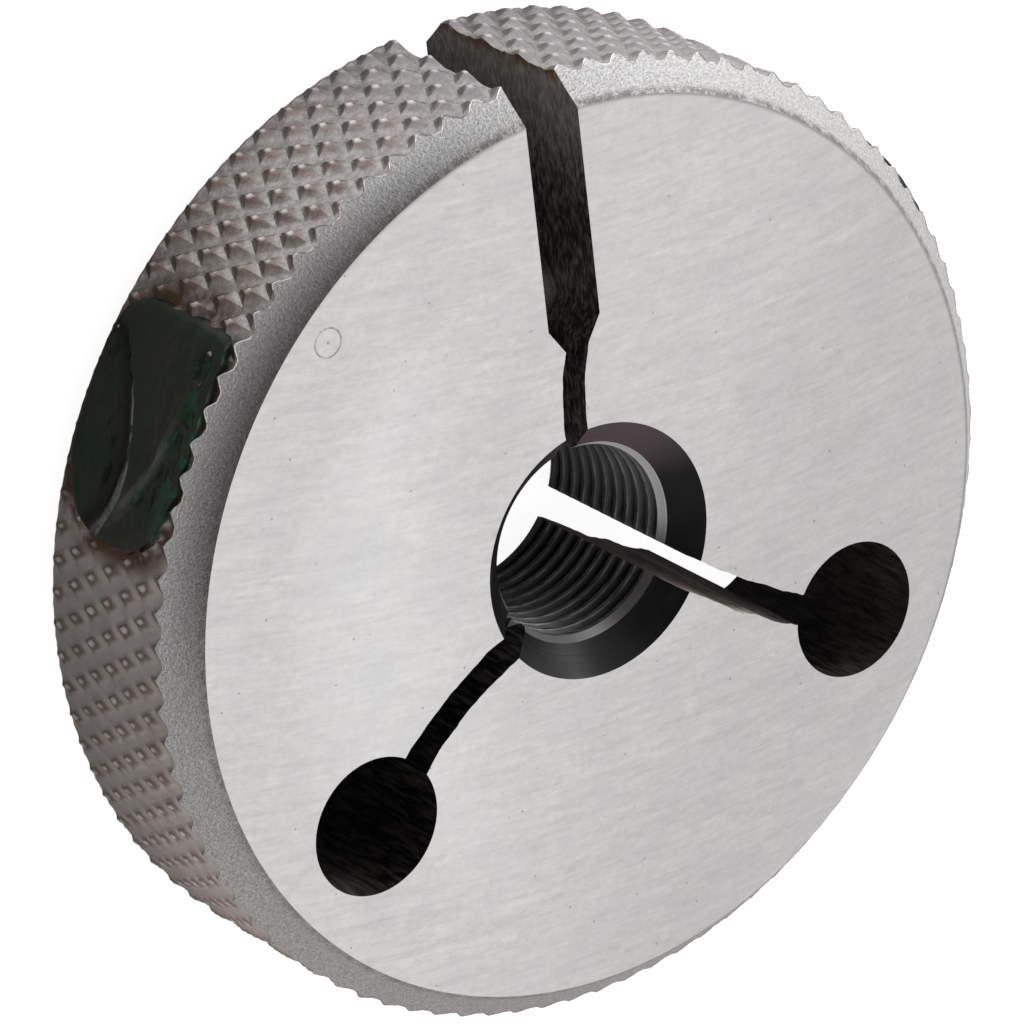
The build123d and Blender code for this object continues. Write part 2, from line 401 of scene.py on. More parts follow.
def blasted_bevel():
    """The bevels round both faces: bead-blasted, darker along the face toward one side, and on one side
    painted darker near the face and lighter near the knurl as painted shade and painted highlight.
    """
    tree, at = new_material("blasted bevel")
    marks = use(tree, BLASTED, {"Place": at["Place"], "Scale": 8.0})
    tone = remap(tree, marks["Grain"], 0.30, 0.70, smooth=False)
    colour = blend(tree, tone, (0.36, 0.352, 0.348), (0.66, 0.655, 0.65))
    colour = blend(tree, times(tree, marks["Pits"], 0.45), colour, (0.13, 0.125, 0.12))
    # painted shade and painted highlight: toward SHADED_BEVEL the bevel is painted darker near the face and
    # lighter near the knurl
    outer = remap(tree, at["Radius"], FACE_RADIUS, TIP_RADIUS)
    shaded = blend(tree, outer, blend(tree, 0.55, colour, (0.0, 0.0, 0.0)),
                   blend(tree, 0.22, colour, (0.95, 0.95, 0.95)))
    colour = blend(tree, facing(tree, at, SHADED_BEVEL, 0.66, 1.0), colour, shaded)
    # a darker ragged band where the bevel meets the face, strongest toward one side
    edge = remap(tree, at["Radius"], FACE_RADIUS + 0.08, FACE_RADIUS + 0.34, 1.0, 0.0)
    ragged = remap(tree, grain(tree, at["Place"], 2.2, 3.0, 0.7), 0.36, 0.58, 0.15, 1.0)
    side_darkness = remap(tree, facing(tree, at, DARK_EDGE_SIDE, -0.1, 0.5), 0.0, 1.0, 0.4, 0.75)
    colour = blend(tree, times(tree, edge, ragged, side_darkness), colour, (0.12, 0.115, 0.105))
    return finish("blasted bevel", colour, 0.52, 0.9, marks["Grain"], 0.045)


def knurled_rim():
    """The knurl: greased flanks, paler floors, and crests worn bright and painted near white as a painted
    highlight; painted shade, shadow and sheen lie on floors and flanks toward some sides.
    """
    tree, at = new_material("knurled rim")
    worn_side = facing(tree, at, WORN_AND_SHADED_SIDE, 0.2, 0.9)
    shallow = times(tree, worn_side, KNURL_DEPTH * SHALLOW_SHARE)
    depth = minus(tree, KNURL_DEPTH, shallow)
    below = minus(tree, TIP_RADIUS, at["Radius"])
    crest = calc(tree, "SUBTRACT", 1.0, over(tree, below, depth), clamp=True)
    fine = use(tree, BLASTED, {"Place": at["Place"], "Scale": 6.0})
    film = use(tree, FILM, {"Place": at["Place"], "Scale": 0.9, "Cover": 0.45})["Film"]
    floors = blend(tree, film, (0.64, 0.635, 0.63), (0.52, 0.51, 0.505))
    # random mottles, painted darker on the floors toward 112 degrees as painted shade
    mottled_painted_shade = remap(tree, grain(tree, at["Place"], 3.2, 3.0, 0.65), 0.36, 0.62, 0.15, 0.75)
    mottled_painted_shade = times(tree, mottled_painted_shade, facing(tree, at, PAINTED_SHADE_FLOORS, 0.45, 0.95))
    floors = blend(tree, mottled_painted_shade, floors, (0.30, 0.295, 0.295))
    flanks = blend(tree, film, (0.33, 0.255, 0.225), (0.22, 0.165, 0.145))
    # painted sheen: the flanks are painted pale blue-grey toward the lit side, at 72 degrees
    flanks = blend(tree, facing(tree, at, PAINTED_SHEEN_FLANKS, 0.72, 1.0), flanks, (0.40, 0.40, 0.43))
    # painted shade: the flanks on the worn side are painted darker brown
    flanks = blend(tree, times(tree, facing(tree, at, WORN_AND_SHADED_SIDE, 0.4, 0.9), 0.7), flanks,
                   (0.17, 0.115, 0.105))
    colour = blend(tree, remap(tree, crest, 0.02, 0.45), floors, flanks)
    colour = blend(tree, remap(tree, fine["Grain"], 0.30, 0.72, 0.0, 0.35), colour, (0.56, 0.54, 0.53))
    # painted shadow: flanks that face along the rim and away from the upper face are painted near black
    # toward 128 degrees
    normal = parts(tree, put(tree, "ShaderNodeNewGeometry").outputs["True Normal"])
    onward = minus(tree, times(tree, normal[1], calc(tree, "COSINE", at["Angle"])),
                   times(tree, normal[0], calc(tree, "SINE", at["Angle"])))
    painted_shadow = remap(tree, minus(tree, onward, normal[2]), 0.25, 0.80, 0.0, 0.65)
    painted_shadow = times(tree, painted_shadow, facing(tree, at, PAINTED_SHADOW_FLANKS, 0.35, 0.85))
    colour = blend(tree, painted_shadow, colour, (0.085, 0.070, 0.064))
    # worn crests, painted near white as a painted highlight as well as wear; more of each crest on the worn
    # side
    start = remap(tree, worn_side, 0.0, 1.0, 0.55, 0.45)
    worn = remap(tree, crest, start, plus(tree, start, 0.24), 0.0, 0.95)
    colour = blend(tree, worn, colour, (0.95, 0.94, 0.93))
    residue = wax_residue(tree, at, crest)
    colour = blend(tree, residue, colour, (0.085, 0.034, 0.009))
    metallic = remap(tree, residue, 0.0, 1.0, 0.9, 0.1)
    roughness = minus(tree, 0.22, times(tree, residue, 0.26))
    return finish("knurled rim", colour, roughness, metallic, fine["Grain"], 0.030)


def wax_residue(tree, at, crest):
    """Amber wax that ran into the knurl just round each seal."""
    x, y, z = parts(tree, at["Place"])
    across = over(tree, minus(tree, y, SEAL_Y), SEAL_HALF_Y)
    up = over(tree, minus(tree, z, SEAL_Z), SEAL_HALF_Z)
    square = plus(tree, calc(tree, "POWER", calc(tree, "ABSOLUTE", across), 3.0),
                  calc(tree, "POWER", calc(tree, "ABSOLUTE", up), 3.0))
    near = remap(tree, square, 1.15, 2.1, 1.0, 0.0)
    ragged = remap(tree, grain(tree, at["Place"], 0.55, 3.0, 0.6), 0.34, 0.52)
    low = remap(tree, crest, 0.45, 0.90, 1.0, 0.2)
    kept = calc(tree, "MAXIMUM", remap(tree, x, -1.0, 1.0, 1.0, 0.0), remap(tree, y, 11.0, 12.4, 1.0, 0.0))
    return times(tree, near, ragged, low, kept)


def facing(tree, at, degrees, low, high):
    """A mask round the bore: 0 away from a direction, 1 on the side that lies that way."""
    away = minus(tree, at["Angle"], radians(degrees))
    return remap(tree, calc(tree, "COSINE", away), low, high)


def black_oxide(name="black oxide", lift=1.0, lay=(1.0, 0.30, 1.0), fineness=6.0):
    """Milled and sawn walls, blackened, painted paler toward the rim and on one saw cut as painted light;
    the cutter's marks run along the shortest side of their lay.
    """
    tree, at = new_material(name)
    marks = grain(tree, stretch(tree, at["Place"], lay), fineness, 4.0, 0.65)
    colour = blend(tree, remap(tree, marks, 0.35, 0.70), (0.012 * lift, 0.011 * lift, 0.010 * lift),
                   (0.048 * lift, 0.044 * lift, 0.040 * lift))
    # painted light: the walls are painted paler toward the rim, streaked by the cutter's marks
    painted_rim_light = calc(tree, "ADD", remap(tree, at["Radius"], 15.0, 21.5, 0.07, 0.48),
                remap(tree, marks, 0.30, 0.75, -0.20, 0.28), clamp=True)
    colour = blend(tree, painted_rim_light, colour, (0.54 * lift, 0.50 * lift, 0.465 * lift))
    # painted light: the saw cut toward -31 degrees is painted pale near the bore, as its lit wall
    painted_lit_kerf = times(tree, facing(tree, at, PAINTED_LIGHT_SAW_CUT, 0.6, 0.95),
                      remap(tree, at["Radius"], 9.0, 13.0, 1.0, 0.0),
                      remap(tree, marks, 0.34, 0.60, 0.35, 1.0))
    colour = blend(tree, painted_lit_kerf, colour, (0.62, 0.555, 0.50))
    fringe = times(tree, remap(tree, at["Radius"], TIP_RADIUS - 1.0, TIP_RADIUS - 0.3),
                   remap(tree, grain(tree, at["Place"], 2.4, 3.0, 0.6), 0.38, 0.52))
    colour = blend(tree, fringe, colour, (0.15, 0.075, 0.030))
    return finish(name, colour, 0.46, 0.1, marks, 0.05, Specular_IOR_Level=0.35 * lift)


def countersink():
    """The countersinks: oil-black, with faint turned rings, and a painted plum sheen toward one side."""
    tree, at = new_material("dark countersink")
    rings = grain(tree, joined(tree, at["Radius"], at["Height"]), 7.0, 3.0, 0.6)
    film = use(tree, FILM, {"Place": at["Place"], "Scale": 0.5, "Cover": 0.5})["Film"]
    colour = blend(tree, film, (0.006, 0.006, 0.0065), (0.012, 0.011, 0.012))
    roughness = remap(tree, rings, 0.3, 0.7, 0.24, 0.34)
    # painted sheen: plum-grey toward 68 degrees
    colour = blend(tree, facing(tree, at, PAINTED_SHEEN_COUNTERSINK, 0.60, 1.0), colour, (0.100, 0.076, 0.086))
    return finish("dark countersink", colour, roughness, 0.0, rings, 0.004, Specular_IOR_Level=0.16)


def bright_lead():
    """The plain band between countersink and thread, painted dark toward two sides as painted shade."""
    tree, at = new_material("bright lead")
    rings = grain(tree, joined(tree, at["Radius"], at["Height"]), 16.0, 3.0, 0.6)
    colour = blend(tree, remap(tree, rings, 0.3, 0.7), (0.60, 0.595, 0.58), (0.86, 0.85, 0.83))
    # painted shade: the band is painted dark over a wide arc toward 200 degrees and a narrow one toward -48
    # degrees
    colour = blend(tree, facing(tree, at, PAINTED_SHADE_LEAD_WIDE, -0.3, 0.7), colour, (0.16, 0.158, 0.155))
    colour = blend(tree, facing(tree, at, PAINTED_SHADE_LEAD_NARROW, 0.70, 0.96), colour, (0.12, 0.115, 0.11))
    return finish("bright lead", colour, 0.38, 0.2, rings, 0.01)


def bright_burr():
    """The burr that the knurling tool raised along the bevels, painted near white in broken stretches as a
    painted highlight, and painted darker on the worn side as painted shade.
    """
    tree, at = new_material("bright burr")
    breaks = grain(tree, at["Place"], 1.6, 3.0, 0.6)
    # raised burr, painted near white in broken stretches as a painted highlight
    colour = blend(tree, remap(tree, breaks, 0.44, 0.60), (0.28, 0.26, 0.24), (0.95, 0.93, 0.91))
    # painted shade: the burr is painted darker on the worn side
    colour = blend(tree, facing(tree, at, WORN_AND_SHADED_SIDE, 0.3, 0.8), colour, (0.36, 0.34, 0.33))
    return finish("bright burr", colour, 0.30, 0.5, breaks, 0.02)


def cut_thread():
    """The thread: black, with worn patches on its crests that are painted pale as a painted highlight too,
    and painted greyer toward one side as painted light.
    """
    tree, at = new_material("cut thread")
    deep = over(tree, minus(tree, at["Radius"], BORE_RADIUS), THREAD_DEPTH)
    crest = remap(tree, deep, 0.02, 0.22, 1.0, 0.0)
    drag = grain(tree, joined(tree, at["Angle"], at["Height"], at["Radius"]), 5.0, 4.0, 0.7)
    colour = blend(tree, remap(tree, drag, 0.35, 0.72), (0.010, 0.010, 0.010), (0.055, 0.053, 0.050))
    # worn patches on the crests, painted pale as a painted highlight as well
    worn_crest_and_highlight = times(tree, crest, remap(tree, drag, 0.38, 0.66, 0.15, 0.75))
    # painted light: the thread is painted greyer toward 25 degrees
    colour = blend(tree, facing(tree, at, PAINTED_LIGHT_THREAD, 0.5, 1.0), colour, (0.085, 0.083, 0.078))
    colour = blend(tree, worn_crest_and_highlight, colour, (0.26, 0.255, 0.245))
    return finish("cut thread", colour, 0.36, times(tree, worn_crest_and_highlight, 0.4), drag, 0.02,
                  Specular_IOR_Level=0.3)


def turned_steel():
    """The sleeve and the screws: turned, with faint rings round their axis."""
    tree, at = new_material("turned steel")
    rings = grain(tree, joined(tree, parts(tree, at["Place"])["X"]), 9.0, 3.0, 0.6)
    film = use(tree, FILM, {"Place": at["Place"], "Scale": 0.8, "Cover": 0.4})["Film"]
    colour = blend(tree, remap(tree, rings, 0.3, 0.7), (0.25, 0.24, 0.23), (0.42, 0.41, 0.39))
    colour = blend(tree, times(tree, film, 0.6), colour, (0.09, 0.075, 0.06))
    return finish("turned steel", colour, 0.38, 1.0, rings, 0.01)


def sealing_wax():
    """Dark green wax, with painted shade in its pressed fold, a painted highlight along the fold's lip, and
    two pale painted reflections beside it.
    """
    tree, at = new_material("sealing wax")
    film = use(tree, FILM, {"Place": at["Place"], "Scale": 0.45, "Cover": 0.48})["Film"]
    colour = blend(tree, film, (0.0120, 0.0320, 0.0185), (0.0290, 0.0345, 0.0215))
    streak = stretch(tree, at["Place"], (0.5, 0.4, 1.8))
    veins = remap(tree, grain(tree, streak, 1.1, 4.0, 0.6), 0.56, 0.74, 0.0, 0.8)
    colour = blend(tree, veins, colour, (0.006, 0.055, 0.030))
    _, y, z = parts(tree, at["Place"])
    ahead = plus(tree, y, FOLD_AHEAD - SEAL_Y)
    fold = calc(tree, "MULTIPLY_ADD", times(tree, ahead, ahead), -FOLD_CURVE, SEAL_Z + FOLD_HEIGHT)
    past = minus(tree, z, fold)
    # painted shade: near black down in the pressed fold
    trough_shade = times(tree, remap(tree, past, -2.0, -1.0), remap(tree, past, -0.25, 0.0, 1.0, 0.0))
    colour = blend(tree, trough_shade, colour, (0.0015, 0.0040, 0.0025))
    # painted highlight: a pale broken line along the fold's lip
    broken = remap(tree, grain(tree, at["Place"], 1.3, 3.0, 0.6), 0.36, 0.52)
    lip = times(tree, remap(tree, calc(tree, "ABSOLUTE", past), 0.02, 0.11, 1.0, 0.0), broken,
                remap(tree, calc(tree, "ABSOLUTE", ahead), 2.2, 3.4, 0.9, 0.0))
    colour = blend(tree, lip, colour, (0.30, 0.35, 0.34))
    # painted reflections: a pale streak along the lower fold, and a second pale band further out
    cloudy = remap(tree, grain(tree, at["Place"], 0.9, 4.0, 0.6), 0.34, 0.58, 0.35, 1.0)
    smear_reflection = times(tree, remap(tree, past, -0.85, -0.25), remap(tree, past, 0.0, 0.15, 1.0, 0.0),
                  remap(tree, ahead, -1.4, 1.0, 1.0, 0.0), remap(tree, ahead, -3.3, -2.3), cloudy)
    colour = blend(tree, smear_reflection, colour, (0.19, 0.235, 0.23))
    beyond = minus(tree, ahead, 2.7)
    second = calc(tree, "MULTIPLY_ADD", times(tree, beyond, beyond), 0.12, minus(tree, z, SEAL_Z + 2.6))
    second = times(tree, remap(tree, calc(tree, "ABSOLUTE", second), 0.10, 0.45, 1.0, 0.0),
                   remap(tree, ahead, -2.4, -1.0), remap(tree, ahead, 1.2, 3.0, 1.0, 0.0), cloudy)
    colour = blend(tree, second, colour, (0.120, 0.130, 0.118))
    upper = times(tree, remap(tree, z, 8.0, 8.9),
                  remap(tree, grain(tree, at["Place"], 1.0, 2.0, 0.5), 0.46, 0.60))
    colour = blend(tree, upper, colour, (0.012, 0.085, 0.045))
    dull = remap(tree, grain(tree, at["Place"], 1.4, 3.0, 0.6), 0.35, 0.7, 0.16, 0.34)
    ripples = grain(tree, at["Place"], 1.6, 3.0, 0.5)
    return finish("sealing wax", colour, dull, 0.0, ripples, 0.05, Specular_IOR_Level=0.29)


# ---------------------------------------------------------------- mesh helpers
def mesh_object(name, points, faces, material=None):
    """A linked object from points and faces, in millimetres."""
    mesh = bpy.data.meshes.new(name)
    mesh.from_pydata([tuple(point) for point in points], [], faces)
    mesh.validate()
    made = bpy.data.objects.new(name, mesh)
    bpy.context.scene.collection.objects.link(made)
    if material:
        mesh.materials.append(material)
    return made


def outward(made):
    """Welds a closed mesh and points its faces outwards."""
    shape = bmesh.new()
    shape.from_mesh(made.data)
    bmesh.ops.remove_doubles(shape, verts=shape.verts, dist=1e-5)
    bmesh.ops.recalc_face_normals(shape, faces=shape.faces)
    shape.to_mesh(made.data)
    shape.free()
    return made


def lathe(name, outline, segments, axis="Z", centre=(0, 0, 0), materials=(), spans=()):
    """A solid of revolution from a closed outline of (radius, height) points.

    spans gives each outline edge the number of its material.
    """
    points = []
    for step in range(segments):
        turn = tau * step / segments
        for radius, height in outline:
            a, b = radius * cos(turn), radius * sin(turn)
            place = (a, b, height) if axis == "Z" else (height, a, b)
            points.append(Vector(place) + Vector(centre))
    count = len(outline)
    faces = []
    numbers = []
    for step in range(segments):
        for edge in range(count):
            following = (edge + 1) % count
            if outline[edge][0] == 0 and outline[following][0] == 0:
                continue
            here, there = step * count, (step + 1) % segments * count
            faces.append((here + edge, there + edge, there + following, here + following))
            numbers.append(spans[edge] if spans else 0)
    made = mesh_object(name, points, faces)
    for material in materials:
        made.data.materials.append(material)
    made.data.polygons.foreach_set("material_index", numbers[:len(made.data.polygons)])
    return outward(made)


def cutter(name, outline, material):
    """A flat outline of (x, y) points, raised right through the ring and out of both faces."""
    count = len(outline)
    points = [(x, y, height) for height in (-CUT_OVERRUN, THICKNESS + CUT_OVERRUN) for x, y in outline]
    faces = [tuple(reversed(range(count))), tuple(range(count, 2 * count))]
    for edge in range(count):
        following = (edge + 1) % count
        faces.append((edge, following, count + following, count + edge))
    return outward(mesh_object(name, points, faces, material))


def combine(base, tool, operation):
    """Cuts a tool from the base, or keeps what they share, and removes the tool."""
    modifier = base.modifiers.new("cut", "BOOLEAN")
    modifier.operation = operation
    modifier.solver = "MANIFOLD"
    modifier.material_mode = "TRANSFER"
    modifier.object = tool
    evaluated = base.evaluated_get(bpy.context.evaluated_depsgraph_get())
    result = bpy.data.meshes.new_from_object(evaluated)
    base.modifiers.clear()
    base.data = result
    bpy.data.objects.remove(tool)


def finished(made, slot, *nodes):
    """Brings a piece to metres, lets it ride on the part, and lets it stand for its solids."""
    for vertex in made.data.vertices:
        vertex.co *= MM
    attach(made, "root")
    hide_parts(*nodes)
    return made


def grown(name, tree, inputs, material):
    """A plain mesh object grown by a geometry tree with the given named inputs."""
    return grown_from(mesh_object(name, [(0, 0, 0)], []), tree, inputs, material)


def grown_from(made, tree, inputs, material):
    """Runs a geometry tree on an object and leaves it a plain mesh."""
    modifier = made.modifiers.new("growth", "NODES")
    modifier.node_group = tree
    sockets = {item.name: item.identifier for item in tree.interface.items_tree
               if item.in_out == "INPUT"}
    for label, value in {**inputs, "Material": material}.items():
        modifier[sockets[label]] = value
    evaluated = made.evaluated_get(bpy.context.evaluated_depsgraph_get())
    result = bpy.data.meshes.new_from_object(evaluated)
    made.modifiers.clear()
    made.data = result
    return made


def end_tree(tree, mesh, material, result):
    """The last nodes of a geometry tree: realised instances with their material."""
    real = put(tree, "GeometryNodeRealizeInstances", {0: mesh}).outputs[0]
    dressed = put(tree, "GeometryNodeSetMaterial", {"Geometry": real, "Material": material})
    tree.links.new(dressed.outputs[0], result["Geometry"])


# ---------------------------------------------------------------- knurl, by geometry nodes
def knurl_tree():
    """A barrel whose rim is rows of raised diamonds, each row staggered by half a diamond."""
    tree, given, result = new_group(
        "diamond knurl",
        [("Geometry", GEOMETRY, None), ("Tip Radius", FLOAT, 22.0), ("Depth", FLOAT, 0.5),
         ("Count", INTEGER, 92), ("Row Pitch", FLOAT, 1.3), ("Rows Below", INTEGER, 8),
         ("Rows Above", INTEGER, 3), ("First Height", FLOAT, 8.0), ("Phase", FLOAT, 0.0),
         ("Cuts", INTEGER, 6), ("Softness", FLOAT, 0.2), ("Hollow", FLOAT, 1.2),
         ("Rake", FLOAT, 0.5), ("Lean", FLOAT, 0.5), ("Groove", FLOAT, 0.3), ("Shallow Share", FLOAT, 0.0),
         ("Unevenness", FLOAT, 0.04), ("Material", MATERIAL, None)],
        [("Geometry", GEOMETRY)], "GeometryNodeTree")
    rows = plus(tree, given["Rows Below"], given["Rows Above"])
    links = {
        "Vertices": times(tree, given["Count"], 2, given["Cuts"]),
        "Side Segments": times(tree, rows, given["Cuts"]),
        "Radius": given["Tip Radius"],
        "Depth": times(tree, rows, given["Row Pitch"]),
    }
    barrel = put(tree, "GeometryNodeMeshCylinder", links, fill_type="NGON").outputs["Mesh"]
    x, y, z = parts(tree, put(tree, "GeometryNodeInputPosition").outputs[0])
    turn = calc(tree, "ARCTAN2", y, x)
    step = over(tree, tau, given["Count"])
    across = over(tree, turn, step)
    middle = times(tree, minus(tree, given["Rows Above"], given["Rows Below"]), 0.5)
    along = plus(tree, over(tree, z, given["Row Pitch"]), middle)
    half = times(tree, along, 0.5)
    ridges = []
    hands = (("ADD", given["Rake"], given["Groove"]), ("SUBTRACT", given["Lean"], 0.06))
    for operation, peak, gap in hands:
        share = calc(tree, "FRACT", plus(tree, calc(tree, operation, across, half), 0.5))
        rise = over(tree, share, peak)
        fall = over(tree, minus(tree, 1.0, share), minus(tree, 1.0, peak))
        tent = minus(tree, calc(tree, "MINIMUM", rise, fall), gap)
        ridges.append(calc(tree, "DIVIDE", tent, minus(tree, 1.0, gap), clamp=True))
    height = calc(tree, "SMOOTH_MIN", *ridges, given["Softness"])
    height = calc(tree, "SMOOTH_MIN", height, 0.96, 0.08)
    height = calc(tree, "POWER", calc(tree, "MAXIMUM", height, 0.0), given["Hollow"])
    turned = plus(tree, turn, given["Phase"])
    shallow = calc(tree, "COSINE", minus(tree, turned, radians(WORN_AND_SHADED_SIDE)))
    shallow = times(tree, remap(tree, shallow, 0.2, 0.9), given["Shallow Share"])
    depth = times(tree, given["Depth"], minus(tree, 1.0, shallow))
    root = minus(tree, given["Tip Radius"], depth)
    radius = calc(tree, "MULTIPLY_ADD", height, depth, root)
    level = calc(tree, "MULTIPLY_ADD", along, given["Row Pitch"], given["First Height"])
    place = joined(tree, times(tree, radius, calc(tree, "COSINE", turned)),
                   times(tree, radius, calc(tree, "SINE", turned)), level)
    moved = put(tree, "GeometryNodeSetPosition", {"Geometry": barrel, "Position": place}).outputs[0]
    creased = put(tree, "GeometryNodeTriangulate", {0: moved}, quad_method="SHORTEST_DIAGONAL").outputs[0]
    position = put(tree, "GeometryNodeInputPosition").outputs[0]
    wear = minus(tree, grain(tree, position, 1.3, 3.0, 0.6), 0.72)
    x, y, _ = parts(tree, position)
    angle = calc(tree, "ARCTAN2", y, x)
    radial = joined(tree, calc(tree, "COSINE", angle), calc(tree, "SINE", angle))
    inward = times(tree, calc(tree, "MINIMUM", wear, 0.0), given["Unevenness"])
    shift = put(tree, "ShaderNodeVectorMath", {0: radial, "Scale": inward}, operation="SCALE").outputs[0]
    moved = put(tree, "GeometryNodeSetPosition", {"Geometry": creased, "Offset": shift}).outputs[0]
    end_tree(tree, moved, given["Material"], result)
    return tree


# ---------------------------------------------------------------- thread, by geometry nodes
def thread_tree():
    """A threaded plug: its ridge follows a helix, and fades out at both ends.

    Its rows of points climb with the helix, so crests and roots are unbroken lines.
    """
    tree, given, result = new_group(
        "thread plug",
        [("Geometry", GEOMETRY, None), ("Minor Radius", FLOAT, 4.4), ("Depth", FLOAT, 0.43),
         ("Pitch", FLOAT, 0.8), ("Start", FLOAT, 1.6), ("End", FLOAT, 9.5), ("Fade", FLOAT, 0.25),
         ("Columns", INTEGER, 96), ("Rows", INTEGER, 16), ("Material", MATERIAL, None)],
        [("Geometry", GEOMETRY)], "GeometryNodeTree")
    span = minus(tree, given["End"], given["Start"])
    turns = plus(tree, calc(tree, "CEIL", over(tree, span, given["Pitch"])), 1.0)
    last_row = plus(tree, times(tree, turns, given["Rows"]), 2.0)
    grid = put(tree, "GeometryNodeMeshGrid", {
        "Size X": 1.0, "Size Y": 1.0,
        "Vertices X": plus(tree, given["Columns"], 1.0),
        "Vertices Y": plus(tree, last_row, 1.0)}).outputs["Mesh"]
    x, y, _ = parts(tree, put(tree, "GeometryNodeInputPosition").outputs[0])
    share = plus(tree, x, 0.5)
    row = calc(tree, "ROUND", times(tree, plus(tree, y, 0.5), last_row))
    phase = over(tree, minus(tree, row, 1.0), given["Rows"])
    climb = plus(tree, minus(tree, phase, 1.0), share)
    level = calc(tree, "MULTIPLY_ADD", climb, given["Pitch"], given["Start"])
    level = calc(tree, "MAXIMUM", calc(tree, "MINIMUM", level, given["End"]), given["Start"])
    crest = times(tree, calc(tree, "PINGPONG", phase, 0.5), 2.0)
    groove = calc(tree, "DIVIDE", minus(tree, crest, 0.25), 0.625, clamp=True)
    to_end = calc(tree, "MINIMUM", minus(tree, level, given["Start"]), minus(tree, given["End"], level))
    fade = calc(tree, "DIVIDE", to_end, given["Fade"], clamp=True)
    ridge = times(tree, groove, fade, given["Depth"])
    radius = plus(tree, given["Minor Radius"], ridge)
    inner = times(tree, calc(tree, "GREATER_THAN", row, 0.5),
                  calc(tree, "LESS_THAN", row, minus(tree, last_row, 0.5)))
    radius = times(tree, radius, inner)
    turn = times(tree, share, tau)
    place = joined(tree, times(tree, radius, calc(tree, "COSINE", turn)),
                   times(tree, radius, calc(tree, "SINE", turn)), level)
    moved = put(tree, "GeometryNodeSetPosition", {"Geometry": grid, "Position": place}).outputs[0]
    welded = put(tree, "GeometryNodeMergeByDistance", {"Geometry": moved, "Distance": 0.0005}).outputs[0]
    end_tree(tree, welded, given["Material"], result)
    return tree


# ---------------------------------------------------------------- ring
def on_arc(start, middle, end, count):
    """Points along the circle through three points, as (place, direction) pairs."""
    (ax, ay), (bx, by), (cx, cy) = start, middle, end
    scale = 2 * (ax * (by - cy) + bx * (cy - ay) + cx * (ay - by))
    squares = [ax * ax + ay * ay, bx * bx + by * by, cx * cx + cy * cy]
    x = (squares[0] * (by - cy) + squares[1] * (cy - ay) + squares[2] * (ay - by)) / scale
    y = (squares[0] * (cx - bx) + squares[1] * (ax - cx) + squares[2] * (bx - ax)) / scale
    centre = Vector((x, y))
    arm = Vector(start) - centre
    whole = arm.angle_signed(Vector(end) - centre)
    path = []
    for number in range(count + 1):
        turn = -whole * number / count
        turned = Vector((arm.x * cos(turn) - arm.y * sin(turn), arm.x * sin(turn) + arm.y * cos(turn)))
        ahead = Vector((-turned.y, turned.x)).normalized() * (-1 if whole > 0 else 1)
        path.append((centre + turned, ahead))
    return path


def sawn(name, path, half, waver, seed, material):
    """A hand-run saw cut along a path, with edges that waver."""
    left, right = [], []
    for place, ahead in path:
        aside = Vector((-ahead.y, ahead.x))
        for side, edge in ((1, left), (-1, right)):
            drift = waver * noise(Vector((place.x * 0.9, place.y * 0.9, seed + side)))
            drift += 0.4 * waver * noise(Vector((place.x * 3.1, place.y * 3.1, seed - side)))
            point = place + aside * (side * half + drift)
            edge.append((point.x, point.y))
    return cutter(name, left + right[::-1], material)


def relief_cuts(material):
    """The two relief holes and the saw cuts that join them to the bore."""
    cutters = []
    for seed, opening in enumerate(OPENINGS):
        begin, bow, end = RELIEF_KERF_WANDER[opening["name"]]
        x, y = ((a + b) / 2 / MM for a, b in list(zip(*opening["box_m"]))[:2])
        reach = hypot(x, y)
        along = Vector((x, y)) / reach
        aside = Vector((-along.y, along.x))
        start = along * (BORE_RADIUS / 2) + aside * begin
        middle = along * ((BORE_RADIUS / 2 + reach) / 2) + aside * bow
        finish_point = along * reach + aside * end
        path = on_arc(start, middle, finish_point, RELIEF_KERF_STEPS)
        cutters.append(sawn("kerf", path, RELIEF_KERF_HALF, RELIEF_KERF_WAVER, 7.0 * seed, material))
        turns = [tau * side / HOLE_SIDES for side in range(HOLE_SIDES)]
        hole = [(x + RELIEF_RADIUS * cos(turn), y + RELIEF_RADIUS * sin(turn)) for turn in turns]
        cutters.append(cutter("relief hole", hole, material))
    return cutters


def slot_cuts(material):
    """The milled adjusting slot with its shoulders, and the saw cut on to the bore."""
    milled = [(-SLOT_HALF, BEYOND_RIM), (-SLOT_HALF, SLOT_FLOOR), (-SLOT_KERF_HALF, SLOT_SHOULDER),
              (SLOT_KERF_HALF, SLOT_SHOULDER), (SLOT_HALF, SLOT_FLOOR), (SLOT_HALF, BEYOND_RIM)]
    begin, bow, end = SLOT_KERF_WANDER
    outer_end, inner_end = (SLOT_FLOOR + SLOT_SHOULDER) / 2, BORE_RADIUS / 2
    path = on_arc((begin, outer_end), (bow, (outer_end + inner_end) / 2), (end, inner_end),
                  SLOT_KERF_STEPS)
    return [cutter("slot", milled, material),
            sawn("slot kerf", path, SLOT_KERF_HALF, SLOT_KERF_WAVER, 31.0, material)]


def device_hole(material):
    """The stepped hole of the locking device, square to the slot."""
    outline = [(0, -BEYOND_RIM), (MOUTH_RADIUS, -BEYOND_RIM), (MOUTH_RADIUS, TAPPED_BOTTOM),
               (SLEEVE_RADIUS, TAPPED_BOTTOM), (SLEEVE_RADIUS, sleeve_high.x),
               (SHANK_RADIUS, sleeve_high.x), (SHANK_RADIUS, HEAD_SEAT),
               (MOUTH_RADIUS, HEAD_SEAT), (MOUTH_RADIUS, BEYOND_RIM), (0, BEYOND_RIM)]
    return lathe("device hole", outline, HOLE_SIDES, "X", (0, DEVICE_Y, DEVICE_Z), [material])


